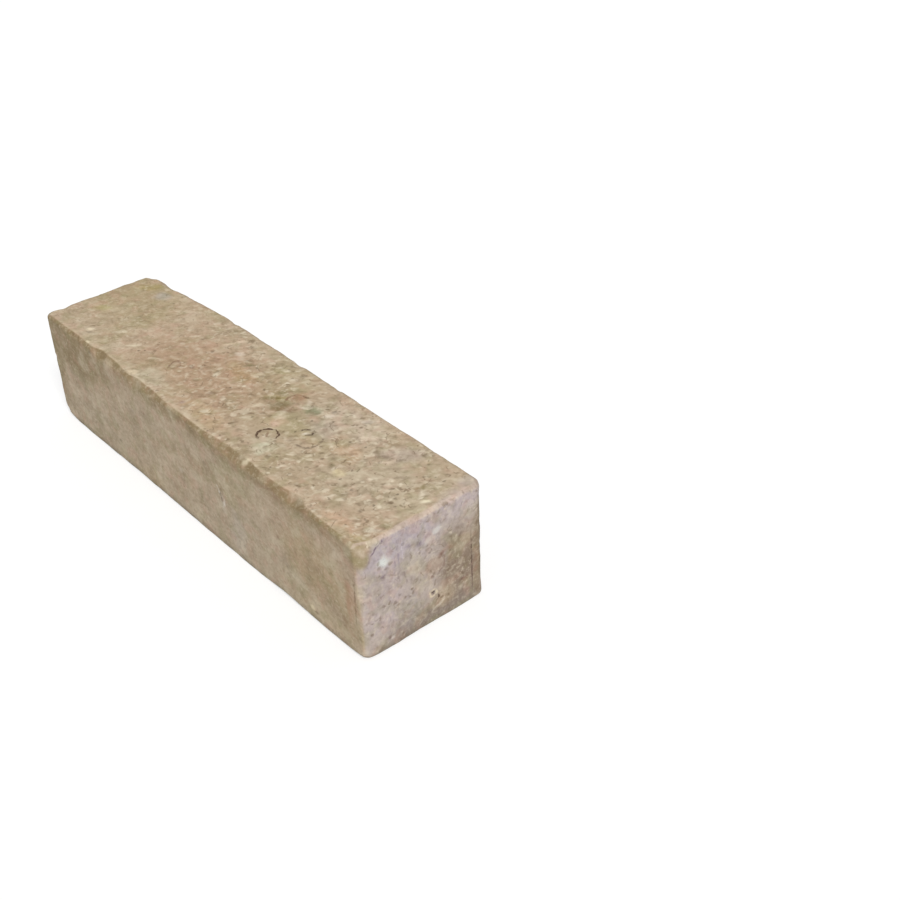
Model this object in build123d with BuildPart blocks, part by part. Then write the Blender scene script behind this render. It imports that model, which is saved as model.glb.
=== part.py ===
from build123d import *
import os

# A tumbled limestone paver: sawn square from the block, then worn along its arrises.
# Millimetres. +X runs along the length, +Y across it and +Z up. The origin is the bed's middle.

# Sawn block
LENGTH = 400.0
WIDTH = 102.0
HEIGHT = 92.0

# Rounding that tumbling leaves on every arris
BACK_UPRIGHT_RADIUS = 6.0
FRONT_LEFT_UPRIGHT_RADIUS = 4.5
FRONT_RIGHT_UPRIGHT_RADIUS = 7.0
TOP_RADIUS = 3.5
BED_RADIUS = 3.0

# Wear flats. Each list holds how deep a flat cuts below the sharp arris, at even steps from
# the arris's start to its end, and a smooth curve joins them.
LEFT_TOP_WEAR = [1.7, 1.4, 2.1, 1.6, 3.3, 1.6, 2.9, 1.6, 1.5, 1.9, 3.4, 3.9, 2.6, 3.5, 2.0, 1.6, 2.2]
RIGHT_TOP_WEAR = [3.4, 4.1, 3.6, 2.0, 1.4, 1.7, 1.3, 1.6, 1.2, 1.5, 1.8, 1.2, 1.5, 1.7]
LEFT_BED_WEAR = [2.2, 1.3, 1.7, 1.1, 1.9, 1.3, 1.5, 1.2, 2.1, 1.6, 2.4]
RIGHT_BED_WEAR = [1.8, 1.4, 2.2, 1.3, 1.6, 1.2, 1.9, 1.4, 2.0]
FRONT_TOP_WEAR = [2.6, 1.7, 2.1, 1.5, 2.4]
BACK_TOP_WEAR = [1.8, 1.4, 2.0, 1.6, 2.8]
FRONT_BED_WEAR = [2.4, 1.4, 1.7, 1.2, 2.0]
BACK_BED_WEAR = [2.1, 1.3, 1.6, 1.2, 1.9]
FRONT_LEFT_WEAR = [2.4, 1.7, 2.2, 2.9, 4.2]
FRONT_RIGHT_WEAR = [3.0, 3.3, 2.9, 3.4, 3.0]
BACK_LEFT_WEAR = [3.2, 2.4, 2.9, 2.2, 2.8]
BACK_RIGHT_WEAR = [2.6, 2.9, 2.3, 3.0, 4.6]

# Shell-shaped spalls on the long arrises: share of the way from back to front, way that the
# spall faces across the stone (sideways, upwards), depth below the sharp arris, shell radius
LEFT_TOP_SPALLS = [
    (0.215, (-1.0, 0.8), 4.2, 30.0),
    (0.345, (-1.0, 0.5), 3.6, 26.0),
    (0.655, (-1.0, 0.7), 5.3, 38.0),
    (0.825, (-0.8, 1.0), 4.5, 34.0),
]
RIGHT_TOP_SPALLS = [
    (0.06, (1.0, 1.0), 6.3, 80.0),
    (0.47, (1.0, 0.5), 2.0, 44.0),
]
LEFT_BED_SPALLS = [
    (0.29, (-1.0, -0.6), 2.9, 30.0),
    (0.775, (-1.0, -0.8), 3.4, 28.0),
]
RIGHT_BED_SPALLS = [
    (0.34, (1.0, -1.0), 3.2, 30.0),
]

# Corners knocked off: the way that the knock faces, how deep its shell cuts in from the sharp
# corner and the shell's radius
FRONT_LEFT_TOP_KNOCK = ((1.0, -0.45, 0.35), 6.5, 70.0)
FRONT_RIGHT_TOP_KNOCK = ((1.0, 1.0, 1.0), 4.8, 26.0)
BACK_LEFT_TOP_KNOCK = ((-1.0, -1.0, 1.0), 3.6, 24.0)
BACK_RIGHT_TOP_KNOCK = ((-0.6, 1.0, 1.0), 9.5, 34.0)
FRONT_LEFT_BED_KNOCK = ((1.0, -1.0, -1.0), 4.2, 22.0)
BACK_LEFT_BED_KNOCK = ((-1.0, -1.0, -1.0), 7.5, 26.0)

# How far past the arris a wear cut starts, so that it clears the corner it removes
CLEARANCE = 8.0

# The six planes of the sawn block
FRONT = LENGTH / 2
BACK = -LENGTH / 2
RIGHT = WIDTH / 2
LEFT = -WIDTH / 2
TOP = HEIGHT
BED = 0.0


def cut_wear(start, end, outward, depths):
    """Planes the arris from start to end down to a flat that wanders in and out with depths."""
    run = Vector(*end) - Vector(*start)
    across = run.cross(Vector(*outward))
    step = run.length / (len(depths) - 1)
    with BuildSketch(Plane(origin=start, x_dir=run, z_dir=across), mode=Mode.PRIVATE) as waste:
        with BuildLine():
            worn = Spline([(index * step, -depth) for index, depth in enumerate(depths)])
            Polyline(worn @ 1, (run.length, CLEARANCE), (0, CLEARANCE), worn @ 0)
        make_face()
    extrude(waste.sketch, amount=2 * CLEARANCE, both=True, mode=Mode.SUBTRACT)


def cut_shell(corner, outward, depth, radius):
    """Cuts one hollow whose deepest point lies depth inside corner, seen along outward."""
    middle = Vector(*corner) + Vector(*outward).normalized() * (radius - depth)
    with Locations(middle):
        Sphere(radius, mode=Mode.SUBTRACT)


def cut_spalls(start, end, spalls):
    """Cuts a row of shell-shaped spalls along the arris from start to end."""
    for share, (sideways, upwards), depth, radius in spalls:
        on_arris = Vector(*start) + (Vector(*end) - Vector(*start)) * share
        cut_shell(on_arris, (0, sideways, upwards), depth, radius)


# The eight corners of the sawn block
FRONT_LEFT_TOP = (FRONT, LEFT, TOP)
FRONT_RIGHT_TOP = (FRONT, RIGHT, TOP)
BACK_LEFT_TOP = (BACK, LEFT, TOP)
BACK_RIGHT_TOP = (BACK, RIGHT, TOP)
FRONT_LEFT_BED = (FRONT, LEFT, BED)
FRONT_RIGHT_BED = (FRONT, RIGHT, BED)
BACK_LEFT_BED = (BACK, LEFT, BED)
BACK_RIGHT_BED = (BACK, RIGHT, BED)

with BuildPart() as paver:
    # The stone as it leaves the saw
    with BuildSketch(Plane.XY.offset(BED)):
        Rectangle(LENGTH, WIDTH)
    extrude(amount=HEIGHT)

    # Rounded arrises
    for corner, radius in (
        (FRONT_LEFT_BED, FRONT_LEFT_UPRIGHT_RADIUS),
        (FRONT_RIGHT_BED, FRONT_RIGHT_UPRIGHT_RADIUS),
        (BACK_LEFT_BED, BACK_UPRIGHT_RADIUS),
        (BACK_RIGHT_BED, BACK_UPRIGHT_RADIUS),
    ):
        fillet(paver.edges().filter_by(Axis.Z).sort_by_distance(corner)[0], radius=radius)
    fillet(paver.faces().sort_by(Axis.Z)[-1].edges(), radius=TOP_RADIUS)
    fillet(paver.faces().sort_by(Axis.Z)[0].edges(), radius=BED_RADIUS)

    # Wear flats along the arrises
    cut_wear(BACK_LEFT_TOP, FRONT_LEFT_TOP, (0, -1, 1), LEFT_TOP_WEAR)
    cut_wear(BACK_RIGHT_TOP, FRONT_RIGHT_TOP, (0, 1, 1), RIGHT_TOP_WEAR)
    cut_wear(BACK_LEFT_BED, FRONT_LEFT_BED, (0, -1, -1), LEFT_BED_WEAR)
    cut_wear(BACK_RIGHT_BED, FRONT_RIGHT_BED, (0, 1, -1), RIGHT_BED_WEAR)
    cut_wear(FRONT_LEFT_TOP, FRONT_RIGHT_TOP, (1, 0, 1), FRONT_TOP_WEAR)
    cut_wear(BACK_LEFT_TOP, BACK_RIGHT_TOP, (-1, 0, 1), BACK_TOP_WEAR)
    cut_wear(FRONT_LEFT_BED, FRONT_RIGHT_BED, (1, 0, -1), FRONT_BED_WEAR)
    cut_wear(BACK_LEFT_BED, BACK_RIGHT_BED, (-1, 0, -1), BACK_BED_WEAR)
    cut_wear(FRONT_LEFT_BED, FRONT_LEFT_TOP, (1, -1, 0), FRONT_LEFT_WEAR)
    cut_wear(FRONT_RIGHT_BED, FRONT_RIGHT_TOP, (1, 1, 0), FRONT_RIGHT_WEAR)
    cut_wear(BACK_LEFT_BED, BACK_LEFT_TOP, (-1, -1, 0), BACK_LEFT_WEAR)
    cut_wear(BACK_RIGHT_BED, BACK_RIGHT_TOP, (-1, 1, 0), BACK_RIGHT_WEAR)

    # Spalls on the long arrises
    cut_spalls(BACK_LEFT_TOP, FRONT_LEFT_TOP, LEFT_TOP_SPALLS)
    cut_spalls(BACK_RIGHT_TOP, FRONT_RIGHT_TOP, RIGHT_TOP_SPALLS)
    cut_spalls(BACK_LEFT_BED, FRONT_LEFT_BED, LEFT_BED_SPALLS)
    cut_spalls(BACK_RIGHT_BED, FRONT_RIGHT_BED, RIGHT_BED_SPALLS)

    # Knocked corners
    cut_shell(FRONT_LEFT_TOP, *FRONT_LEFT_TOP_KNOCK)
    cut_shell(FRONT_RIGHT_TOP, *FRONT_RIGHT_TOP_KNOCK)
    cut_shell(BACK_LEFT_TOP, *BACK_LEFT_TOP_KNOCK)
    cut_shell(BACK_RIGHT_TOP, *BACK_RIGHT_TOP_KNOCK)
    cut_shell(FRONT_LEFT_BED, *FRONT_LEFT_BED_KNOCK)
    cut_shell(BACK_LEFT_BED, *BACK_LEFT_BED_KNOCK)

paver.part.label = "paver"
os.makedirs("parts", exist_ok=True)
export_step(paver.part, "parts/paver.step")
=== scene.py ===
"""Looks of one tumbled limestone paver, standing on a pale studio floor."""

import logging
import math
from dataclasses import dataclass, field
from enum import Enum

import bpy
import numpy as np
from mathutils import Matrix, Vector


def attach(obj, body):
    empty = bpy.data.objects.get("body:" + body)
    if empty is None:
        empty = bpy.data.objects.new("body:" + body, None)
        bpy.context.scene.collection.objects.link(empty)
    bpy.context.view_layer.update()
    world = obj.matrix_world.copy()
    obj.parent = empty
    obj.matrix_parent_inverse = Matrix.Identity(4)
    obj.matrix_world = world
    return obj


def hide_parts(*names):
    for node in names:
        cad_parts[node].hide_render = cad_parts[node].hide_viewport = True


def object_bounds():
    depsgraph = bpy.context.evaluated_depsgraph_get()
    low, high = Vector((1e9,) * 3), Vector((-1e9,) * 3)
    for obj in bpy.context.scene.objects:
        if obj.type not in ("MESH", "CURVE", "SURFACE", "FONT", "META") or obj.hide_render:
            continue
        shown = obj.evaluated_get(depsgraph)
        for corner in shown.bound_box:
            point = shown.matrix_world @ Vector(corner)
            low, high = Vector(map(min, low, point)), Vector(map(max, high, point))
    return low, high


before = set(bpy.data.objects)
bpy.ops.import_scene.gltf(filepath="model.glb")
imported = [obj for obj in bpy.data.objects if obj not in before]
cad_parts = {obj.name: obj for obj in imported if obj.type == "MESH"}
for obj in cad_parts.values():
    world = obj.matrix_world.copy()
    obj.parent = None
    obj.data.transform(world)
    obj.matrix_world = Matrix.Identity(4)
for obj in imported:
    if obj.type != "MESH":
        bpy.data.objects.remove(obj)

CAD_LOW, CAD_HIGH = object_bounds()
NODE = "paver"
MM = 0.001
Colour = tuple[float, float, float]
Place = tuple[float, float, float]
Span = tuple[float, float]
Socket = bpy.types.NodeSocket

# How far a unit normal leans along an axis where a face begins to count, and where it counts
# in full: for relief, for the top's and the ends' colour, and for the flat part of the top
RELIEF_LEAN = (0.5, 0.9)
TOP_LEAN = (0.4, 0.85)
END_LEAN = (0.5, 0.85)
FLAT_LEAN = (0.88, 0.985)

# Whole numbers that the noise's hash mixes with, for the axes, the seed and each round
WORD = 0xFFFFFFFF
HASH_AXES = (73856093, 19349663, 83492791)
HASH_SEED = 2654435761
HASH_ROUNDS = ((16, 0x45D9F3B), (15, 0x2C1B3C6D), (16, 0x297A2D39))
HASH_LAST_SHIFT = 15

log = logging.getLogger("paver")


# Numbers and small helpers


def srgb(red: float, green: float, blue: float) -> tuple[float, float, float, float]:
    """Turn a colour of 0 to 255, as a screen shows it, into a linear RGBA colour.

    Each channel c becomes c / 12.92 near black and ((c + 0.055) / 1.055)^2.4 above it.

    Args:
        red: Red, 0 to 255.
        green: Green, 0 to 255.
        blue: Blue, 0 to 255.

    Returns:
        The linear colour with full alpha.
    """
    shares = [value / 255 for value in (red, green, blue)]
    return (*(((c + 0.055) / 1.055) ** 2.4 if c > 0.04 else c / 12.92 for c in shares), 1.0)


def smoothstep(low: float, high: float, value: np.ndarray) -> np.ndarray:
    """Rise smoothly from 0 at low to 1 at high, as 3t^2 - 2t^3 for a share t of the way."""
    share = np.clip((value - low) / (high - low), 0, 1)
    return share * share * (3 - 2 * share)


class Noise:
    """Noise fields in space, worked out from hashed lattice points, the same on each run."""

    @staticmethod
    def hashed(cells: np.ndarray, seed: int) -> np.ndarray:
        """Hash whole-number lattice points to even numbers between 0 and 1.

        Args:
            cells: Lattice points, an array of shape (n, 3).
            seed: Which of many independent fields to read.

        Returns:
            One number for each lattice point.
        """
        x, y, z = (cells.astype(np.int64) & WORD).astype(np.uint64).T
        by_x, by_y, by_z = HASH_AXES
        word = np.uint64(WORD)
        mixed = (x * by_x ^ y * by_y ^ z * by_z ^ np.uint64(seed * HASH_SEED)) & word
        for shift, factor in HASH_ROUNDS:
            mixed = ((mixed ^ (mixed >> np.uint64(shift))) * np.uint64(factor)) & word
        return (mixed ^ (mixed >> np.uint64(HASH_LAST_SHIFT))) / float(WORD)

    @classmethod
    def smooth(cls, points: np.ndarray, cell: float, seed: int) -> np.ndarray:
        """Blend the hashed values of the eight lattice corners round each point.

        Args:
            points: Places, an array of shape (n, 3).
            cell: Size of one lattice cell, in the points' units.
            seed: Which field to read.

        Returns:
            Values between 0 and 1 that change smoothly over one cell.
        """
        scaled = points / cell
        base = np.floor(scaled)
        part = scaled - base
        part = part * part * (3 - 2 * part)
        total = np.zeros(len(points))
        for corner in np.ndindex(2, 2, 2):
            weight = np.prod(np.where(np.array(corner) == 1, part, 1 - part), axis=1)
            total += weight * cls.hashed(base + corner, seed)
        return total

    @classmethod
    def layered(cls, points: np.ndarray, cell: float, seed: int, layers: int = 4) -> np.ndarray:
        """Add fields of half the cell and half the height each, and scale the sum to 0 to 1.

        Args:
            points: Places, an array of shape (n, 3).
            cell: Size of the coarsest cell.
            seed: Which field to read first.
            layers: How many fields are added.

        Returns:
            Values between 0 and 1.
        """
        heights = 0.5 ** np.arange(layers)
        fields = [
            cls.smooth(points, cell * height, seed + 17 * i) for i, height in enumerate(heights)
        ]
        return np.tensordot(heights, fields, axes=1) / heights.sum()

    @classmethod
    def vector(cls, points: np.ndarray, cell: float, seed: int) -> np.ndarray:
        """Three independent smooth fields from -0.5 to 0.5, as offsets of shape (n, 3)."""
        fields = [cls.smooth(points, cell, seed + axis) for axis in range(3)]
        return np.stack(fields, axis=1) - 0.5


@dataclass(frozen=True)
class NoiseField:
    """A layered noise, drawn out to a smooth step between low and high where these are given."""

    cell: float
    seed: int
    layers: int
    low: float | None = None
    high: float | None = None

    def at(self, points: np.ndarray) -> np.ndarray:
        """Read the field at places of shape (n, 3), as values between 0 and 1."""
        value = Noise.layered(points, self.cell, self.seed, self.layers)
        return value if self.low is None else smoothstep(self.low, self.high, value)


@dataclass(frozen=True)
class Bend:
    """Offsets that make straight things uneven, half the reach either way at most."""

    reach: float
    cell: float
    seed: int

    def of(self, points: np.ndarray) -> np.ndarray:
        """Move places of shape (n, 3) by the offsets."""
        return points + self.reach * Noise.vector(points, self.cell, self.seed)


@dataclass(frozen=True)
class Bowls:
    """Round bowls strewn through space, at most one to a lattice cell.

    Each bowl has a hashed middle and radius, and its depth at a point is 1 - (d / r)^2, where
    d is the point's distance from the middle. The deepest bowl at a point counts.
    """

    cell: float
    seed: int
    share: float
    radii: Span

    def depth(self, points: np.ndarray) -> np.ndarray:
        """Depths of the bowls, 0 to 1, at places of shape (n, 3)."""
        base = np.floor(points / self.cell)
        deepest = np.zeros(len(points))
        smallest, largest = self.radii
        for step in np.ndindex(3, 3, 3):
            near = base + np.array(step) - 1
            middle = np.stack([Noise.hashed(near, self.seed + axis) for axis in range(3)], axis=1)
            radius = smallest + (largest - smallest) * Noise.hashed(near, self.seed + 3) ** 2
            held = Noise.hashed(near, self.seed + 4) < self.share
            away = np.linalg.norm(points - (near + middle) * self.cell, axis=1)
            deepest = np.maximum(deepest, np.where(held, 1 - (away / radius) ** 2, 0))
        return deepest


# The stone's surface


@dataclass
class Lattice:
    """Closed grid over the six faces of a block, with its vertices shared along the arrises."""

    counts: tuple[int, int, int]
    gather: float = 0.32
    vertices: np.ndarray = field(init=False)
    quads: np.ndarray = field(init=False)

    def __post_init__(self) -> None:
        """Number the lattice points of all six faces once, and list each face's quads."""
        corners = []
        for axis in range(3):
            first, second = (axis + 1) % 3, (axis + 2) % 3
            grid = (np.arange(self.counts[first]), np.arange(self.counts[second]))
            u, v = np.meshgrid(*grid, indexing="ij")
            for side in (0, self.counts[axis]):
                quad = np.zeros((u.size, 4, 3), int)
                quad[:, :, axis] = side
                turn = ((0, 0), (1, 0), (1, 1), (0, 1))
                for corner, (du, dv) in enumerate(turn if side else turn[:1] + turn[:0:-1]):
                    quad[:, corner, first] = u.ravel() + du
                    quad[:, corner, second] = v.ravel() + dv
                corners.append(quad)
        every_corner = np.concatenate(corners).reshape(-1, 3)
        places, numbers = np.unique(every_corner, axis=0, return_inverse=True)
        self.vertices = places
        self.quads = numbers.reshape(-1, 4)

    def shares(self) -> np.ndarray:
        """Place the lattice points between -1 and 1 on each axis, closer near the arrises.

        Returns:
            t + g sin(pi t) / pi on each axis, where t runs evenly from -1 to 1 and g gathers
            the lines towards both ends.
        """
        even = 2 * self.vertices / np.array(self.counts) - 1
        return even + self.gather * np.sin(math.pi * even) / math.pi


class Face(Enum):
    """A face of the stone that a mark lies on: its two axes, the axis through it, its plane."""

    TOP = (0, 1, 2, 92.0)
    LEFT = (0, 2, 1, -51.0)
    FRONT = (1, 2, 0, 200.0)

    def ordered(self, across: float, along: float, through: float) -> Place:
        """Put values along the face's two axes, and one through it, in the order x, y, z."""
        first, second, third, _ = self.value
        values = {first: across, second: along, third: through}
        return (values[0], values[1], values[2])

    def place(self, across: float, along: float) -> Place:
        """Turn two coordinates on the face into a place in the stone, in millimetres."""
        return self.ordered(across, along, self.value[3])

    def turning(self, degrees: float) -> Place:
        """Euler angles that turn a pattern by degrees, anticlockwise as the face is seen."""
        angle = math.radians(degrees)
        return self.ordered(0.0, 0.0, -angle if self is Face.LEFT else angle)


@dataclass(frozen=True)
class Stain:
    """A soft-edged patch of another colour on one face. Lengths are in millimetres."""

    face: Face
    middle: Span
    reach: Span
    colour: Colour
    strength: float = 0.6
    turn: float = 0.0
    depth: float = 10.0
    edge: float = 0.35

    def amount(self, points: np.ndarray) -> np.ndarray:
        """How much of the stain shows: full near its middle, none beyond its reach.

        Args:
            points: Places, already bent a little by noise.

        Returns:
            Shares between 0 and the stain's strength.
        """
        first, second, third, _ = self.face.value
        apart = points - np.array(self.face.place(*self.middle))
        u, v, through = apart[:, first], apart[:, second], apart[:, third]
        cosine, sine = math.cos(math.radians(self.turn)), math.sin(math.radians(self.turn))
        across = (u * cosine + v * sine) / self.reach[0]
        along = (v * cosine - u * sine) / self.reach[1]
        away = np.sqrt(across**2 + along**2 + (through / self.depth) ** 2)
        return self.strength * (1 - smoothstep(self.edge, 1.0, away))


@dataclass(frozen=True)
class Line:
    """A drawn ellipse, filled in or as a rim of a given width, whole or on one side only.

    Lengths are in millimetres. The rim of a shell or a pit is drawn towards an angle as far as
    spread, which is 1 at that angle and -1 opposite it.
    """

    face: Face
    middle: Span
    radii: Span
    colour: Colour
    strength: float
    turn: float = 47.0
    width: float | None = None
    towards: float | None = None
    spread: float = 0.0
    is_straight: bool = False


def placed(kind: type, rows: dict[Face, tuple[tuple, ...]]) -> tuple:
    """Make a mark of one kind from each row of its values after its face, face by face."""
    return tuple(kind(face, *row) for face, group in rows.items() for row in group)


# Broad patches of colour. Each row is a middle, a reach, a colour and, as far as needed, a
# strength, a turn, a depth and an edge.
STAINS = placed(Stain, {
    Face.TOP: (
        ((-35, -8), (88, 48), (178, 149, 121), 0.75, 0, 10, 0.45),
        ((-172, 18), (60, 52), (172, 155, 119), 0.6),
        ((36, 8), (14, 10), (140, 126, 90), 0.6),
        ((27, 12), (11, 4), (176, 160, 108), 0.7, 47),
        ((59, 20), (10, 7), (146, 146, 114), 0.75, 47),
        ((39, 22), (10, 8), (176, 136, 110), 0.8, 47),
        ((92, 34), (46, 20), (204, 188, 168), 0.55),
        ((70, -31), (18, 12), (206, 200, 174), 0.6),
        ((52, -5), (10, 8), (210, 178, 150), 0.6),
        ((150, 5), (62, 48), (197, 182, 157), 0.5),
        ((116, 8), (16, 13), (195, 164, 134), 0.8, 0, 10, 0.5),
        ((142, 33), (22, 12), (184, 168, 154), 0.6, 47),
        ((82, 14), (22, 12), (178, 164, 148), 0.6),
        ((170, -42), (18, 9), (206, 172, 142), 0.7),
        ((192, -44), (11, 8), (190, 177, 122), 0.7),
        ((197, 36), (13, 24), (193, 178, 169), 0.7),
        ((-159, 33), (12, 8), (180, 172, 164), 0.7),
        ((-179, -15), (13, 7), (174, 163, 110), 0.7, 47),
        ((-181, 33), (14, 7), (174, 158, 106), 0.7, 47),
        ((-60, -40), (34, 12), (188, 176, 150), 0.6),
        ((-15, 12), (24, 10), (190, 160, 116), 0.5),
        ((10, -38), (40, 12), (196, 168, 130), 0.5),
    ),
    Face.LEFT: (
        ((-150, 74), (66, 26), (150, 131, 100), 0.85),
        ((-192, 50), (12, 44), (146, 130, 98), 0.8),
        ((60, 24), (14, 30), (194, 182, 166), 0.6),
        ((-140, 22), (60, 22), (172, 156, 132), 0.6),
        ((150, 14), (56, 16), (196, 180, 150), 0.6),
        ((30, 56), (60, 16), (176, 158, 128), 0.5),
        ((150, 52), (52, 34), (185, 163, 129), 0.65),
        ((188, 44), (8, 24), (182, 140, 112), 0.6),
    ),
    Face.FRONT: (
        ((-18, 76), (46, 24), (186, 174, 179), 0.9, 0, 7.0),
        ((-32, 36), (24, 44), (192, 177, 175), 0.8, 0, 7.0),
        ((28, 84), (34, 13), (190, 176, 177), 0.8, 0, 7.0),
        ((32, 30), (28, 48), (144, 126, 109), 0.95, 0, 10, 0.5),
        ((6, 1), (66, 28), (142, 128, 117), 0.9),
        # Painted shade along the rounded right upright arris of the end
        ((47, 40), (8, 62), (142, 124, 102), 0.85, 0, 14.0),
        ((6, 46), (9, 9), (172, 150, 134), 0.85, 0, 10, 0.6),
        ((16, 17), (13, 12), (172, 152, 126), 0.7),
        ((-12, 22), (12, 20), (164, 154, 150), 0.6),
    ),
})

# Single pale shells, dark specks and smudges that stand out, in rows of the same kind
FLECKS = placed(Stain, {
    Face.TOP: (
        ((-152.2, -36.1), (5.2, 3.0), (236, 220, 190), 0.9, 47),
        ((-149, -39.5), (4.0, 1.9), (118, 98, 74), 0.8, 47),
        ((-136.1, -48.3), (3.4, 2.2), (236, 220, 190), 0.9),
        ((-108.3, -26), (6.2, 2.3), (226, 210, 182), 0.8, 47),
        ((-80.1, -23.8), (6.4, 2.3), (224, 206, 178), 0.8, 40),
        ((-73.6, -45), (6.0, 3.6), (226, 206, 176), 0.85),
        ((-86.1, 16.7), (5.6, 2.4), (234, 216, 190), 0.9, 60),
        ((-79.2, 18.5), (4.4, 2.0), (120, 96, 76), 0.7, 47),
        ((-58, 30.5), (11.5, 2.6), (222, 198, 170), 0.85, 70),
        ((-55.5, 37), (5.0, 3.0), (228, 206, 180), 0.7, 70),
        ((-41.5, 26.3), (5.6, 3.4), (228, 210, 190), 0.8, 47),
        ((-35, 24), (3.4, 5.0), (222, 204, 180), 0.6, 47),
        ((-21.5, 22.6), (6.0, 2.2), (112, 102, 64), 0.7, 47),
        ((-14, -40.9), (4.6, 2.2), (150, 116, 112), 0.7, 80),
        ((-49.5, -10.6), (2.6, 2.4), (112, 86, 70), 0.8),
        ((-6.7, 19.1), (6.4, 2.6), (228, 208, 178), 0.85, 60),
        ((15.8, 41.9), (3.6, 3.0), (122, 102, 76), 0.8),
        ((16, 33.8), (4.2, 3.4), (216, 202, 178), 0.75, 48),
        ((37.5, 7), (8.5, 7.5), (130, 113, 78), 0.9, 48, 10, 0.5),
        ((25.5, 9.5), (10.5, 2.6), (124, 108, 66), 0.85, 40),
        ((25.4, 18.2), (4.4, 3.2), (126, 110, 70), 0.8, 48),
        ((47, 10), (6.0, 5.0), (150, 124, 98), 0.85, 48),
        ((38.2, 20.8), (6.2, 4.8), (164, 128, 104), 0.85, 48),
        ((60, 19.6), (7.4, 5.0), (134, 136, 104), 0.8, 48),
        ((26.6, -2.6), (6.2, 3.4), (216, 202, 174), 0.8, 48),
        ((26.1, -13.7), (4.6, 5.0), (212, 198, 172), 0.7, 48),
        ((49.3, -0.8), (4.8, 3.6), (226, 204, 178), 0.9, 48),
        ((54, -8.8), (5.0, 4.2), (220, 192, 168), 0.8, 48),
        ((48.6, 23.6), (1.8, 6.0), (222, 206, 186), 0.8, 48),
        ((71.3, 24.1), (5.2, 3.2), (222, 206, 190), 0.85, 48),
        ((69.9, 29.3), (3.8, 2.4), (112, 96, 84), 0.8, 48),
        ((-8.1, -16.6), (5.0, 3.4), (134, 106, 84), 0.7, 48),
        ((75.9, -47), (6.0, 3.2), (220, 206, 176), 0.75, 48),
        ((-8.7, -19.1), (6.0, 3.0), (132, 104, 84), 0.65, 47),
        ((51, 19), (7.2, 1.9), (226, 212, 190), 0.8, 47),
        ((69, -28), (5.0, 3.0), (222, 218, 192), 0.8, 47),
        ((76, -35), (3.6, 4.8), (214, 208, 180), 0.7, 47),
        ((77.2, 0.6), (4.4, 1.7), (236, 226, 208), 0.85, 47),
        ((76.2, -10.8), (4.4, 3.2), (134, 120, 102), 0.6, 47),
        ((107, 24), (3.2, 8.0), (222, 204, 180), 0.7, 47),
        ((113, 30), (9.0, 2.6), (222, 204, 180), 0.7, 47),
        ((96, 40), (7.0, 3.6), (216, 208, 192), 0.7, 47),
        ((148.5, -0.8), (3.4, 2.0), (240, 228, 202), 0.9, 47),
        ((128.7, -10.7), (6.6, 5.0), (222, 206, 164), 0.7),
        ((119.6, -9.1), (1.9, 3.8), (124, 106, 78), 0.7, 47),
        ((110.0, -13.0), (5.0, 1.8), (216, 200, 172), 0.7, 60),
        ((143.3, -15.8), (2.5, 2.2), (132, 112, 86), 0.7),
        ((170.5, -24.8), (2.5, 2.2), (120, 100, 78), 0.8),
        ((191.4, 11.1), (5.4, 2.5), (246, 234, 204), 1.0, 47),
        ((191.3, -31.8), (7.0, 3.0), (216, 206, 184), 0.7, 47),
        ((192.4, -24), (6.0, 2.4), (124, 110, 76), 0.6, 47),
        ((178, 18), (9.0, 2.4), (134, 116, 78), 0.7, 75),
        ((146, 27), (4.6, 2.0), (132, 112, 98), 0.7, 47),
        ((135, 22), (9.0, 1.6), (142, 122, 104), 0.6, 47),
        ((152, 20), (12.0, 1.6), (150, 130, 108), 0.6, 47),
        ((141, 18), (8.0, 1.8), (220, 202, 178), 0.7, 47),
        ((160, 14), (9.0, 1.6), (148, 130, 110), 0.6, 47),
    ),
    Face.FRONT: (
        ((-31.3, 71.8), (6.4, 6.2), (224, 227, 221), 1.0, 0, 7.0, 0.25),
        ((-3.7, 70.4), (3.8, 3.4), (114, 100, 110), 0.8, 0, 6.0),
        ((-9.5, 73.4), (7.0, 2.2), (132, 118, 126), 0.7, -20, 6.0),
        ((11.2, 73.9), (4.8, 4.4), (216, 213, 210), 0.7, 0, 6.0),
        ((13.8, 53.8), (3.8, 2.4), (134, 100, 88), 0.75, 30, 6.0),
        ((20.5, 54.5), (3.6, 2.2), (136, 104, 90), 0.7, -30, 6.0),
        ((-32.8, 60.7), (3.4, 3.0), (128, 110, 120), 0.7, 0, 6.0),
        ((-8.0, 43.9), (3.4, 2.6), (128, 108, 100), 0.6, 0, 6.0),
        ((32.7, 22.3), (3.6, 2.0), (118, 86, 78), 0.8, -20, 6.0),
        ((9.5, 12.5), (9.0, 1.7), (226, 216, 196), 0.7, 30, 6.0),
        ((-32.3, 9.6), (3.2, 2.4), (92, 78, 76), 0.8, 0, 6.0),
        ((-28.6, 8.2), (2.6, 2.2), (222, 214, 206), 0.8, 0, 6.0),
        ((4.0, 69.0), (5.0, 2.4), (212, 206, 196), 0.7, 20, 6.0),
    ),
    Face.LEFT: (
        ((-104, 19), (2.6, 2.4), (98, 82, 64), 0.8, 0, 6.0),
        ((-129.7, 86), (2.8, 2.4), (104, 88, 68), 0.8, 0, 8.0),
        ((145, 10), (4.4, 3.0), (226, 212, 178), 0.9, 0, 6.0),
        ((149, 8), (3.0, 1.8), (112, 98, 74), 0.7, 0, 6.0),
        ((110.4, 48.8), (2.4, 2.2), (130, 98, 80), 0.6, 0, 6.0),
        ((44, 40), (4.0, 13.0), (190, 180, 164), 0.5, 0, 6.0),
        ((-12, 40), (5.0, 2.0), (194, 182, 164), 0.5, 20, 6.0),
        ((-74, 61), (5.0, 2.0), (186, 172, 152), 0.5, 20, 6.0),
        ((180.3, 21.6), (3.4, 8.0), (148, 118, 94), 0.5, 10, 6.0),
    ),
})

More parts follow.
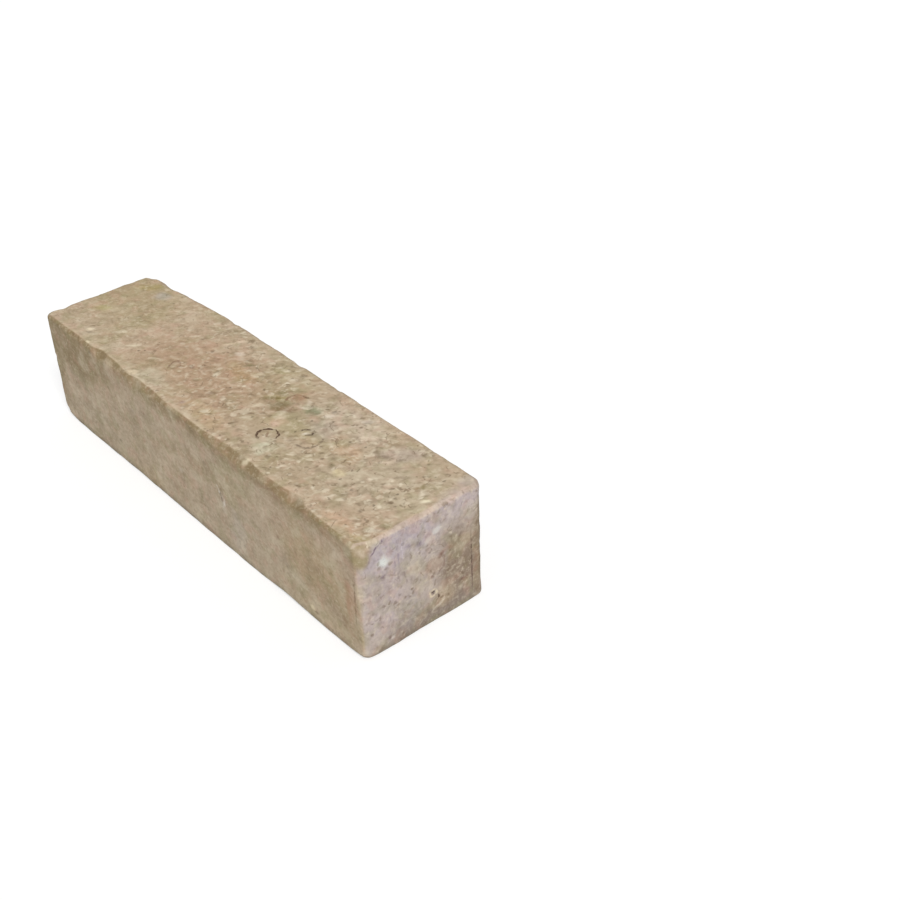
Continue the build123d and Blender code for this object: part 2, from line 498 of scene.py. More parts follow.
# Rims and lines that stand out. Each row is a middle, two radii, a colour, a strength and, as
# far as needed, a turn, a rim's width, what it is drawn towards, its spread and straightness.
LINES = placed(Line, {
    Face.TOP: (
        ((61.1, -19.6), (7.5, 7.2), (84, 60, 44), 0.95, 47, 0.9, 95, -0.7),
        ((60.6, -20.0), (0.8, 3.2), (128, 92, 72), 0.6),
        ((76.6, 1.2), (5.4, 3.4), (86, 68, 54), 0.95, 47, 1.1, 20, -0.4),
        ((84.2, -2.6), (9.9, 9.9), (124, 106, 88), 0.75, 47, 1.1, -67, 0.3),
        ((-59.0, -19.0), (4.0, 8.0), (128, 100, 82), 0.7, 47, 0.8, 90, -0.1),
        ((38.6, 20.6), (6.8, 6.0), (130, 98, 76), 0.8, 47, 1.1, 100, 0.0),
        ((-156.0, -33.0), (8.0, 0.7), (116, 96, 70), 0.7),
        ((-98.0, -26.0), (1.2, 1.0), (110, 92, 68), 0.75),
        ((-95.0, -22.0), (1.2, 1.0), (104, 88, 66), 0.75),
        ((-89.0, -17.5), (1.6, 1.0), (110, 92, 68), 0.7),
    ),
    Face.FRONT: (
        ((-33.0, 88.0), (3.6, 1.0), (116, 96, 110), 0.8, 38),
        ((-38.5, 84.0), (3.4, 1.0), (116, 96, 110), 0.8, 48),
        ((-43.0, 78.0), (3.6, 0.6), (140, 118, 124), 0.6, 62),
        ((8.0, 47.0), (8.6, 8.6), (124, 96, 82), 0.5, 0, 1.0, -30, 0.1),
        ((6.0, 24.9), (2.9, 2.7), (226, 210, 180), 0.7, 0, 1.0),
        ((6.0, 25.0), (1.5, 1.4), (70, 52, 42), 0.85, 0),
        ((10.7, 20.3), (1.3, 1.8), (86, 68, 54), 0.75, 0),
        ((-18.0, 47.5), (3.4, 8.5), (126, 108, 104), 0.45, 12, 1.0, 60, 0.1),
        ((-20.5, 71.0), (0.7, 12.0), (150, 136, 146), 0.6, 3),
        ((-17.0, 74.0), (0.6, 9.0), (214, 204, 210), 0.5, -3),
        ((-23.5, 62.0), (0.6, 9.0), (152, 138, 146), 0.5, -4),
        ((-42.8, 32.5), (3.8, 3.0), (144, 124, 114), 0.4, 20, 1.0, 120, -0.3),
        ((39.6, 34.0), (0.7, 25.0), (92, 70, 60), 0.75, 0.5, None, None, 0, True),
    ),
    Face.LEFT: (
        ((193.5, 47.0), (0.8, 20.0), (126, 100, 80), 0.6, -2),
        ((39.5, 50.0), (1.1, 4.0), (224, 216, 202), 0.65, 24),
        ((44.6, 40.0), (1.2, 5.0), (226, 218, 204), 0.7, -20),
        ((42.0, 45.0), (0.9, 5.0), (112, 96, 82), 0.55, 14),
    ),
})


@dataclass(frozen=True)
class ArrisColoursAndShade:
    """Colours and painted shade of the worn arrises, and how far each reaches from its plane, in
    millimetres. The brown band under the left arris, its chamfer, the knocked near corner and the
    grey at the foot are painted shade.

    A pair says where a colour starts to fade and where it ends, or the other way round. A lean
    is a share of a unit normal.
    """

    uneven: NoiseField = NoiseField(22.0, 277, 3)
    # Painted shade: a brown band down the left side under the arris, laid in the knocked near
    # corner too
    band_shade: Colour = (157, 138, 106)
    band_shade_strength: float = 0.85
    band_below: Span = (0.05, 0.7)
    band_inwards: Span = (5.0, 10.0)
    band_forward_lean: float = 0.9
    band_forward_fade: float = 0.25
    band_reach: float = 20.0
    band_waver: float = 8.0
    band_fade: float = 12.0
    # Painted shade on the chamfer of the left arris, where it tilts up towards the key light
    chamfer_shade: Colour = (135, 115, 84)
    chamfer_shade_strength: float = 0.75
    chamfer_lean: Span = (0.0, 0.6)
    rim: Colour = (208, 190, 162)
    rim_strength: float = 0.45
    rim_below: Span = (0.05, 0.4)
    rim_inwards: Span = (0.3, 1.0)
    rim_reach: float = 6.0
    rim_waver: float = 8.0
    corner: Place = (200.0, -51.0, 92.0)
    corner_reach: Place = (14.0, 13.0, 20.0)
    corner_edge: Span = (0.7, 1.05)
    corner_bend: Bend = Bend(5.0, 6.0, 281)
    # Painted shade at the foot: grey, darker towards the bed, uneven along it
    foot: Colour = (124, 114, 96)
    foot_shade_strength: Span = (0.5, 0.5)
    foot_shade_height: Span = (0.5, 7.0)
    front: Colour = (200, 180, 166)
    front_strength: float = 0.6
    front_lean: Span = (0.25, 0.5)
    front_from: Span = (182.0, 192.0)

    def over(self, colour: np.ndarray, points: np.ndarray, outward: np.ndarray) -> np.ndarray:
        """Lay painted shade in brown under a pale rim on the left arris and in its knocked near
        corner, painted shade in grey at the foot, and a pale front arris.

        Args:
            colour: Colours so far.
            points: Vertex places, in millimetres.
            outward: Outward unit normals.

        Returns:
            The colours with the arrises laid over them.
        """
        uneven = self.uneven.at(points)
        inwards = points[:, 1] - CAD_LOW.y / MM
        below = CAD_HIGH.z / MM - points[:, 2]
        # Painted shade: a brown band on the left side, from just under the arris downwards
        left = smoothstep(*self.band_below, below) * (1 - smoothstep(*self.band_inwards, inwards))
        backward = self.band_forward_lean - outward[:, 0]
        left = left * smoothstep(0, self.band_forward_fade, backward)
        depth = (self.band_reach - self.band_waver * uneven - below) / self.band_fade
        colour = laid(colour, self.band_shade, self.band_shade_strength * left * smoothstep(0, 1, depth))
        # Painted shade on the chamfer, where it tilts up
        shaded_chamfer = left * smoothstep(*self.chamfer_lean, outward[:, 2])
        colour = laid(colour, self.chamfer_shade, self.chamfer_shade_strength * shaded_chamfer)
        inwards = inwards / (self.rim_reach + self.rim_waver * uneven)
        rim = 1 - smoothstep(*self.rim_below, below)
        rim = rim * (1 - smoothstep(*self.rim_inwards, inwards))
        colour = laid(colour, self.rim, self.rim_strength * rim)
        # Painted shade in the knocked near corner, in the band's colour
        knocked = self.corner_bend.of(points) - np.array(self.corner)
        away = np.linalg.norm(knocked / np.array(self.corner_reach), axis=1)
        corner = 1 - smoothstep(*self.corner_edge, away)
        colour = laid(colour, self.band_shade, self.band_shade_strength * corner)
        # Painted shade in grey at the foot, darker towards the bed
        least, more = self.foot_shade_strength
        foot = 1 - smoothstep(*self.foot_shade_height, points[:, 2])
        colour = laid(colour, self.foot, (least + more * uneven) * foot)
        front = smoothstep(*self.front_from, points[:, 0])
        for axis in (0, 2):
            front = front * smoothstep(*self.front_lean, outward[:, axis])
        return laid(colour, self.front, self.front_strength * front)


@dataclass
class StoneSurface:
    """The stone's skin: a dense grid carried onto the sawn and worn block, then given its relief.

    Lengths are in millimetres. A share on a face says how much of the top's relief it has.
    """

    name: str = "limestone_skin"
    spacing: float = 1.36
    round_radius: float = 6.0
    start_outside: float = 3.0
    soften_rounds: int = 6
    straighten_rounds: int = 160
    straighten_fade: Span = (4.2, 12.6)
    arris_reach: float = 5.0
    foot_fade: Span = (4.0, 14.0)
    sides_share: float = 0.35
    bed_share: float = 0.12
    swell: NoiseField = NoiseField(55.0, 11, 2)
    swell_depth: float = 0.5
    wear: NoiseField = NoiseField(12.0, 23, 3, 0.42, 0.85)
    wear_depth: float = 1.3
    wear_lost_at_foot: float = 0.7
    grain: NoiseField = NoiseField(4.6, 37, 2)
    grain_depth: float = 0.32
    crust: NoiseField = NoiseField(8.0, 53, 3, 0.5, 0.62)
    crust_depth: float = 0.192
    arris_lift: float = 0.8
    lift_gained_at_foot: float = 0.6
    pit_depth: float = 1.0
    pit_bend: Bend = Bend(1.2, 3.0, 141)
    small_pits: Bowls = Bowls(7.0, 71, 0.26, (0.9, 2.3))
    small_pits_share: Span = (0.15, 0.85)
    small_pits_depth: float = 0.7
    large_pits: Bowls = Bowls(19.0, 91, 0.16, (1.6, 3.6))
    large_pits_share: Span = (0.6, 0.4)
    pits_lost_on_bed: float = 0.8
    drift: NoiseField = NoiseField(60.0, 201, 3, 0.35, 0.65)
    green: NoiseField = NoiseField(34.0, 233, 3, 0.5, 0.75)
    tone_bend: Bend = Bend(9.0, 16.0, 251)
    fleck_bend: Bend = Bend(3.0, 3.5, 263)
    tan: Colour = (184, 164, 137)
    tan_hues: Span = (0.6, 0.7)
    sawn: Colour = (187, 170, 146)
    sawn_hues: Span = (0.35, 0.4)
    sawn_end: Colour = (185, 171, 162)
    rose: Colour = (193, 166, 140)
    olive: Colour = (176, 162, 126)
    shelly_from: Span = (-160.0, 40.0)
    shelly_lost_on_arris: float = 0.6
    shelly_lost_in_flecks: float = 0.7
    shelly_anywhere: float = 0.24
    shelly_top: Span = (0.28, 0.44)
    shelly_end: float = 0.38
    stains: tuple[Stain, ...] = STAINS
    flecks: tuple[Stain, ...] = FLECKS
    arrises: ArrisColoursAndShade = ArrisColoursAndShade()

    def size(self) -> np.ndarray:
        """Length, width and height of the CAD block, in millimetres."""
        return np.array(CAD_HIGH - CAD_LOW) / MM

    def middle(self) -> np.ndarray:
        """Middle of the CAD block, in millimetres."""
        return np.array(CAD_HIGH + CAD_LOW) / 2 / MM

    def rounded_block(self, lattice: Lattice) -> np.ndarray:
        """Round the lattice off into a block a little larger than the stone.

        Each point of the block is drawn back to the nearest point of an inner block, and set
        out again by the rounding's radius along the line between them.

        Args:
            lattice: The closed grid.

        Returns:
            Vertex places, in millimetres.
        """
        half = self.size() / 2 + self.start_outside
        on_block = lattice.shares() * half
        radius = self.round_radius + self.start_outside
        inner = np.clip(on_block, -(half - radius), half - radius)
        away = on_block - inner
        away /= np.linalg.norm(away, axis=1, keepdims=True)
        return inner + away * radius + self.middle()

    def carried(self, points: np.ndarray, quads: np.ndarray) -> np.ndarray:
        """Carry the grid inwards along its own normals until it meets the CAD stone.

        Args:
            points: Vertex places, in millimetres.
            quads: Vertex numbers of each quad.

        Returns:
            Vertex places on the CAD stone, in millimetres.
        """
        target = bpy.data.objects.new("carry_target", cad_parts[NODE].data.copy())
        bpy.context.scene.collection.objects.link(target)
        piece = new_mesh_object("carried_grid", points * MM, quads)
        wrap = piece.modifiers.new("carry", "SHRINKWRAP")
        wrap.target = target
        wrap.wrap_method = "PROJECT"
        wrap.use_negative_direction = True
        wrap.use_positive_direction = False
        evaluated = piece.evaluated_get(bpy.context.evaluated_depsgraph_get())
        places = read_vertices(evaluated.data) / MM
        for helper in (piece, target):
            bpy.data.objects.remove(helper)
        return places

    def softened(self, points: np.ndarray, quads: np.ndarray) -> np.ndarray:
        """Draw each vertex halfway to the mean of its neighbours, a few times over.

        Flat faces stay as they are, and the rims of spalls and wear flats lose their sharpness.

        Args:
            points: Vertex places, in millimetres.
            quads: Vertex numbers of each quad.

        Returns:
            The softened places.
        """
        starts = quads.ravel()
        ends = np.roll(quads, -1, axis=1).ravel()
        count = np.bincount(starts, minlength=len(points))[:, None]
        for _ in range(self.soften_rounds):
            sums = [np.bincount(starts, points[ends, axis], len(points)) for axis in range(3)]
            points = (points + np.stack(sums, axis=1) / count) / 2
        return points

    def straightened(self, points: np.ndarray, quads: np.ndarray) -> np.ndarray:
        """Even out the bed arrises lengthwise, so that they run as straight as a sawn block's.

        Each vertex near the bed is drawn halfway to the mean of its two neighbours along the
        stone, many times over. Vertices without two such neighbours stay where they are.

        Args:
            points: Vertex places, in millimetres.
            quads: Vertex numbers of each quad.

        Returns:
            The straightened places.
        """
        starts = quads.ravel()
        ends = np.roll(quads, -1, axis=1).ravel()
        apart = np.abs(points[ends] - points[starts])
        lengthwise = apart[:, 0] > 2 * apart[:, 1:].max(axis=1)
        lengthwise &= points[starts, 2] < self.foot_fade[1]
        starts, ends = starts[lengthwise], ends[lengthwise]
        held = np.bincount(starts, minlength=len(points)) == 2
        share = 0.5 * held * (1 - smoothstep(*self.straighten_fade, points[:, 2]))
        for _ in range(self.straighten_rounds):
            for axis in range(3):
                mean = np.bincount(starts, points[ends, axis], len(points)) / 2
                points[:, axis] += share * (mean - points[:, axis])
        return points

    def arris_nearness(self, points: np.ndarray) -> np.ndarray:
        """How near each vertex is to an arris: 1 on it, falling off as exp(-d / reach).

        Args:
            points: Vertex places, in millimetres.

        Returns:
            Nearness from the second-smallest distance to the block's six planes.
        """
        to_planes = self.size() / 2 - np.abs(points - self.middle())
        second = np.sort(to_planes, axis=1)[:, 1]
        return np.exp(-np.clip(second, 0, None) / self.arris_reach)

    def pits(self, points: np.ndarray, top: np.ndarray) -> np.ndarray:
        """Open pits, many small ones and a few larger, the most on the top face.

        Args:
            points: Vertex places, in millimetres.
            top: How far each vertex faces up, 0 to 1.

        Returns:
            Pit depths between 0 and 1.
        """
        ragged = self.pit_bend.of(points)
        depths = []
        for bowls, (least, more) in (
            (self.small_pits, self.small_pits_share),
            (self.large_pits, self.large_pits_share),
        ):
            depths.append(bowls.depth(ragged) * (least + more * top))
        return np.maximum(depths[0] * self.small_pits_depth, depths[1])

    def relief(self, points: np.ndarray, outward: np.ndarray) -> np.ndarray:
        """Depth that the surface is drawn in at each vertex.

        The sum of a slow swell of the sawn faces, uneven wear near the arrises, a grain that is
        strongest on the top face, and open pits. The wear leaves high spots on the arrises too.

        Args:
            points: Vertex places, in millimetres.
            outward: Outward unit normals.

        Returns:
            Depths, in millimetres, below zero where the arris stands proud of its wear flat.
        """
        top = smoothstep(*RELIEF_LEAN, outward[:, 2])
        bed = smoothstep(*RELIEF_LEAN, -outward[:, 2])
        faces = self.sides_share * (1 - top - bed) + top + self.bed_share * bed
        arris = self.arris_nearness(points)
        foot = 1 - smoothstep(*self.foot_fade, points[:, 2])
        depth = self.swell.at(points) * self.swell_depth * faces
        worn = self.wear.at(points) * arris * self.wear_depth
        depth += worn * (1 - self.wear_lost_at_foot * foot)
        depth += self.grain.at(points) * self.grain_depth * faces
        depth += self.crust.at(points) * self.crust_depth * faces
        depth += self.pits(points, top) * self.pit_depth * (1 - self.pits_lost_on_bed * bed)
        lift = self.arris_lift * arris * (1 + self.lift_gained_at_foot * foot)
        return np.clip(depth, 0, None) - lift

    def tone(self, points: np.ndarray, outward: np.ndarray) -> np.ndarray:
        """Broad colour of the stone at each vertex, before its fine grain.

        Tan, rose and olive drift into each other on the top, and the sawn faces are greyer. The
        stains are laid over them in turn, then the worn arrises' colours and painted shade, then
        the single flecks.

        Args:
            points: Vertex places, in millimetres.
            outward: Outward unit normals.

        Returns:
            Linear RGBA colours, shape (n, 4).
        """
        hues = ((self.rose, self.drift.at(points)), (self.olive, self.green.at(points)))
        grounds = []
        for ground, shares in ((self.sawn, self.sawn_hues), (self.tan, self.tan_hues)):
            colour = np.tile(srgb(*ground), (len(points), 1))
            for (hue, amount), share in zip(hues, shares):
                colour = laid(colour, hue, share * amount)
            grounds.append(colour)
        sawn, bedded = grounds
        colour = laid(sawn, self.sawn_end, smoothstep(*END_LEAN, np.abs(outward[:, 0])))
        colour = colour + (bedded - colour) * smoothstep(*TOP_LEAN, outward[:, 2])[:, None]
        bent = self.tone_bend.of(points)
        for stain in self.stains:
            colour = laid(colour, stain.colour, stain.amount(bent))
        colour = self.arrises.over(colour, points, outward)
        wavy = self.fleck_bend.of(points)
        for fleck in self.flecks:
            colour = laid(colour, fleck.colour, fleck.amount(wavy))
        return colour

    def shelliness(self, points: np.ndarray, outward: np.ndarray) -> np.ndarray:
        """How much broken shell shows at each vertex: most on the top, towards the front.

        Args:
            points: Vertex places, in millimetres.
            outward: Outward unit normals.

        Returns:
            Shares between 0 and 1, lower on the arrises and where a single fleck lies.
        """
        worn = self.shelly_lost_on_arris * self.arris_nearness(points)
        fresh = smoothstep(*self.shelly_from, points[:, 0]) * (1 - worn)
        least, more = self.shelly_top
        top = (least + more * fresh) * smoothstep(*FLAT_LEAN, outward[:, 2])
        end = self.shelly_end * smoothstep(*END_LEAN, np.abs(outward[:, 0]))
        flecked = np.max([fleck.amount(points) for fleck in self.flecks], axis=0)
        shelly = np.clip(self.shelly_anywhere + top + end, 0, 1)
        return shelly * (1 - self.shelly_lost_in_flecks * flecked)

    def build(self) -> bpy.types.Object:
        """Make the skin as one closed mesh inside the CAD block, with its colour attributes.

        Returns:
            The finished object, at the origin.
        """
        size = self.size()
        lattice = Lattice(tuple(int(round(extent / self.spacing)) for extent in size))
        points = self.rounded_block(lattice)
        points = self.carried(points, lattice.quads)
        points = self.straightened(self.softened(points, lattice.quads), lattice.quads)
        outward = vertex_normals(points, lattice.quads)
        skin = points - outward * self.relief(points, outward)[:, None]
        low, high = np.array(CAD_LOW) / MM, np.array(CAD_HIGH) / MM
        piece = new_mesh_object(self.name, np.clip(skin, low, high) * MM, lattice.quads)
        piece.data.polygons.foreach_set("use_smooth", np.ones(len(lattice.quads), bool))
        add_attribute(piece, "tone", self.tone(points, outward))
        add_attribute(piece, "hollow", self.pits(points, smoothstep(*TOP_LEAN, outward[:, 2])))
        add_attribute(piece, "shelly", self.shelliness(points, outward))
        add_attribute(piece, "flat", smoothstep(*FLAT_LEAN, outward[:, 2]))
        return piece


def laid(under: np.ndarray, colour: Colour, amount: np.ndarray) -> np.ndarray:
    """Lay a colour, as a screen shows it, over linear RGBA colours by an amount of 0 to 1."""
    return under + (np.array(srgb(*colour)) - under) * amount[:, None]


def add_attribute(piece: bpy.types.Object, name: str, values: np.ndarray) -> None:
    """Store a number or a colour at each vertex, for the material to read.

    Args:
        piece: The mesh object.
        name: The attribute's name.
        values: Numbers of shape (n,), or colours of shape (n, 4).
    """
    is_colour = values.ndim == 2
    attribute = piece.data.attributes.new(name, "FLOAT_COLOR" if is_colour else "FLOAT", "POINT")
    values = values.astype(np.float32).ravel()
    attribute.data.foreach_set("color" if is_colour else "value", values)


def new_mesh_object(name: str, points: np.ndarray, quads: np.ndarray) -> bpy.types.Object:
    """Put vertices and quads into a new mesh object at the origin.

    Args:
        name: The object's name.
        points: Vertex places, in metres.
        quads: Vertex numbers of each quad.

    Returns:
        The object, linked to the scene.
    """
    mesh = bpy.data.meshes.new(name)
    mesh.vertices.add(len(points))
    mesh.vertices.foreach_set("co", points.astype(np.float32).ravel())
    mesh.loops.add(quads.size)
    mesh.loops.foreach_set("vertex_index", quads.astype(np.int32).ravel())
    mesh.polygons.add(len(quads))
    mesh.polygons.foreach_set("loop_start", np.arange(0, quads.size, 4, dtype=np.int32))
    mesh.update(calc_edges=True)
    mesh.validate()
    piece = bpy.data.objects.new(name, mesh)
    bpy.context.scene.collection.objects.link(piece)
    return piece


def read_vertices(mesh: bpy.types.Mesh) -> np.ndarray:
    """Read a mesh's vertex places as an array of shape (n, 3)."""
    places = np.zeros(len(mesh.vertices) * 3, np.float32)
    mesh.vertices.foreach_get("co", places)
    return places.reshape(-1, 3).astype(float)


def vertex_normals(points: np.ndarray, quads: np.ndarray) -> np.ndarray:
    """Unit normals from the crossed diagonals of the quads round each vertex.

    Args:
        points: Vertex places.
        quads: Vertex numbers of each quad.

    Returns:
        Outward unit normals.
    """
    a, b, c, d = (points[quads[:, corner]] for corner in range(4))
    crossed = np.cross(c - a, d - b)
    crossed = np.repeat(crossed, 4, axis=0)
    sums = [np.bincount(quads.ravel(), crossed[:, axis], len(points)) for axis in range(3)]
    total = np.stack(sums, axis=1)
    return total / np.linalg.norm(total, axis=1, keepdims=True)


# Materials


class Shader:
    """The node tree of a material or a world, with one short call for each kind of node."""

    def __init__(self, owner: bpy.types.Material | bpy.types.World) -> None:
        """Start an empty tree for a material or a world."""
        self.owner = owner
        owner.use_nodes = True
        self.tree = owner.node_tree
        self.tree.nodes.clear()

    def node(
        self, kind: str, inputs: dict[int | str, object], **settings: object
    ) -> bpy.types.Node:
        """Add a node, set its properties, then set or link its inputs.

        Args:
            kind: The node's type, without its leading ShaderNode.
            inputs: A value or an output for each input, by its name or number.
            settings: The node's own properties.

        Returns:
            The node.
        """
        node = self.tree.nodes.new("ShaderNode" + kind)
        for name, value in settings.items():
            setattr(node, name, value)
        for key, value in inputs.items():
            if isinstance(value, Socket):
                self.tree.links.new(value, node.inputs[key])
            else:
                node.inputs[key].default_value = value
        return node

    def maths(
        self, operation: str, first: object, second: object = 0.0, clamp: bool = False
    ) -> Socket:
        """Work out one sum on numbers or outputs, kept between 0 and 1 if clamp says so."""
        inputs = {0: first, 1: second}
        return self.node("Math", inputs, operation=operation, use_clamp=clamp).outputs[0]

    def vector(self, operation: str, first: object, second: object = (0, 0, 0)) -> Socket:
        """Work out one sum on vectors.

        Args:
            operation: Name of the Vector Math node's operation.
            first: First vector or output.
            second: Second vector, or the factor of a SCALE.

        Returns:
            The result's socket, a number where the operation gives one.
        """
        inputs = {0: first, "Scale" if operation == "SCALE" else 1: second}
        node = self.node("VectorMath", inputs, operation=operation)
        return node.outputs["Value" if operation in ("LENGTH", "DOT_PRODUCT") else "Vector"]

    def step(self, value: object, low: float, high: float, least: float = 0.0) -> Socket:
        """Change smoothly from least at low to 1 at high, whichever of the two is the larger.

        Args:
            value: The number to map.
            low: Where the result is least.
            high: Where it is 1.
            least: Result on the far side of low.

        Returns:
            The mapped number's socket.
        """
        (start, first), (end, last) = sorted(((low, least), (high, 1.0)))
        inputs = {"Value": value, "From Min": start, "From Max": end}
        inputs |= {"To Min": first, "To Max": last}
        return self.node("MapRange", inputs, interpolation_type="SMOOTHSTEP").outputs["Result"]

    def noise(
        self, at: object, size: float, detail: float, rough: float = 0.5, bend: float = 0.0
    ) -> bpy.types.Node:
        """Read a noise whose grains are about size across.

        Args:
            at: Where to read it, in millimetres.
            size: Grain size, in millimetres.
            detail: How many finer layers are added.
            rough: How strong the finer layers are.
            bend: How far the noise distorts itself.

        Returns:
            The node, whose outputs are one noise and a colour of three.
        """
        inputs = {"Vector": at, "Scale": 1 / size, "Detail": detail}
        return self.node("TexNoise", inputs | {"Roughness": rough, "Distortion": bend})

    def split(self, colour: Socket) -> tuple[Socket, ...]:
        """Take a colour apart into its three numbers."""
        return tuple(self.node("SeparateColor", {0: colour}).outputs)

    def cells(self, at: object, size: float) -> tuple[Socket, tuple[Socket, ...]]:
        """Read a pattern of cells about size across.

        Args:
            at: Where to read it, in millimetres.
            size: Cell size, in millimetres.

        Returns:
            The distance from the cell's middle, in cell sizes, and the cell's own three numbers.
        """
        cells = self.node("TexVoronoi", {"Vector": at, "Scale": 1 / size})
        return cells.outputs["Distance"], self.split(cells.outputs["Color"])

    def show(self, output: str, seen: bpy.types.Node, elsewhere: bpy.types.Node) -> None:
        """Show one shader to the camera and another to all other light.

        Args:
            output: Type of the output node, without its leading ShaderNode.
            seen: What the camera sees.
            elsewhere: What lights the scene.
        """
        is_seen = self.node("LightPath", {}).outputs["Is Camera Ray"]
        inputs = {0: is_seen, 1: elsewhere.outputs[0], 2: seen.outputs[0]}
        self.node(output, {"Surface": self.node("MixShader", inputs).outputs[0]})


@dataclass(frozen=True)
class Cloud:
    """A noise that lays on cream where it is high and umber where it is low.

    The colours begin where the noise strays by near from its mean of a half, and are full
    where it strays by far.
    """

    size: float
    detail: float
    cream: float
    umber: float
    far: float
    near: float = 0.0
    rough: float = 0.5
    bend: float = 0.0
    height: float = 0.0


@dataclass(frozen=True)
class Patches:
    """Soft patches, where a noise rises from low to high, with some amount left between them."""

    size: float
    detail: float
    low: float
    high: float
    rough: float = 0.5
    left: float = 0.0


@dataclass(frozen=True)
class Crumbs:
    """Bits of shell, at most one to a cell, pale or dark as the cell's own number says.

    A bit fades from its core to its reach, in cell sizes. Each pick says from which number on
    a cell holds none, and at which it is full.
    """

    size: float
    reach: float
    core: float
    pale_pick: Span
    dark_pick: Span
    pale: float
    dark: float
    raised: float
    sunk: float
    shift: Place = (0.0, 0.0, 0.0)


@dataclass(frozen=True)
class LimestoneFinish:
    """Sawn and tumbled shelly limestone. Colours are as a screen shows them.

    Lengths are in millimetres, and a bend is the size of its waves and how far they reach.
    """

    cream: Colour = (226, 213, 188)
    umber: Colour = (112, 92, 68)
    # Painted shade in the open pits
    pit_shade_colour: Colour = (84, 68, 50)
    rose: Colour = (204, 160, 140)
    olive: Colour = (152, 148, 106)
    bedding_strike: float = 48.0
    bedding_dip: float = 48.0
    bedding_stretch: float = 1.55
    grain_stretch: float = 1.4
    broad_bend: Span = (9.0, 3.6)
    small_bend: Span = (3.4, 1.5)
    slow_bend: Span = (15.0, 3.0)
    flake_bend: Span = (4.4, 2.0)
    hue_grain: Span = (10.0, 1.5)
    hue_step: Span = (0.48, 0.68)
    rose_strength: float = 0.21
    olive_strength: float = 0.26
    bareness: float = 1.35
    clouds: Cloud = Cloud(14.0, 1.5, 0.28, 0.2, far=0.25)
    mottle: Cloud = Cloud(4.0, 2.0, 0.4, 0.34, far=0.22, bend=0.2, height=0.22)
    grain: Cloud = Cloud(2.0, 2.0, 0.24, 0.24, far=0.26, rough=0.6, height=0.08)
    wisps: Cloud = Cloud(2.9, 1.0, 0.55, 0.36, far=0.24, near=0.06, bend=0.1, height=0.08)
    thickness: Patches = Patches(27.0, 2.0, 0.43, 0.59, rough=0.6, left=0.08)
    flakes: tuple[Crumbs, ...] = (
        Crumbs(6.6, 0.42, 0.126, (0.7, 1.0), (0.22, 0.0), 0.9, 0.62, 0.11, 0.11),
        Crumbs(4.0, 0.46, 0.138, (0.7, 1.0), (0.22, 0.0), 0.9, 0.62, 0.11, 0.11, (31, 57, 13)),
    )
    clusters: Patches = Patches(13.0, 1.5, 0.5, 0.63, rough=0.55)
    crumbs: Crumbs = Crumbs(3.9, 0.52, 0.2, (0.58, 0.8), (0.36, 0.16), 0.95, 0.85, 0.1, 0.12)
    crumbs_lost_on_top: float = 0.5
    rim_noise: tuple[float, ...] = (8.5, 1.0, 0.4, 0.4)
    rim_step: Span = (0.04, 0.004)
    rim_strength: float = 0.6
    rim_depth: float = 0.1
    rim_parts: Patches = Patches(5.5, 1.0, 0.54, 0.66)
    broken_line: Patches = Patches(3.0, 1.0, 0.36, 0.58, left=0.3)
    line_reach: float = 6.0
    line_filled: Span = (1.25, 0.6)
    line_edge: Span = (1.3, 0.3)
    line_end: float = 0.12
    deep_from: float = 0.9
    line_depth: float = 0.2
    pit_shade: Span = (0.25, 0.85)
    pit_shade_strength: float = 0.45
    fine_pit_cell: float = 6.5
    fine_pit_pick: Span = (0.8, 0.83)
    fine_pit_edge: Span = (0.24, 0.1)
    fine_pit_shade_strength: float = 0.5
    fine_pit_depth: float = 0.35
    roughness: float = 0.9
    shine: float = 0.25
    bump_strength: float = 0.8
    lines: tuple[Line, ...] = LINES

    def material(self) -> bpy.types.Material:
        """Build the limestone's material."""
        return LimestoneShader(self).material()


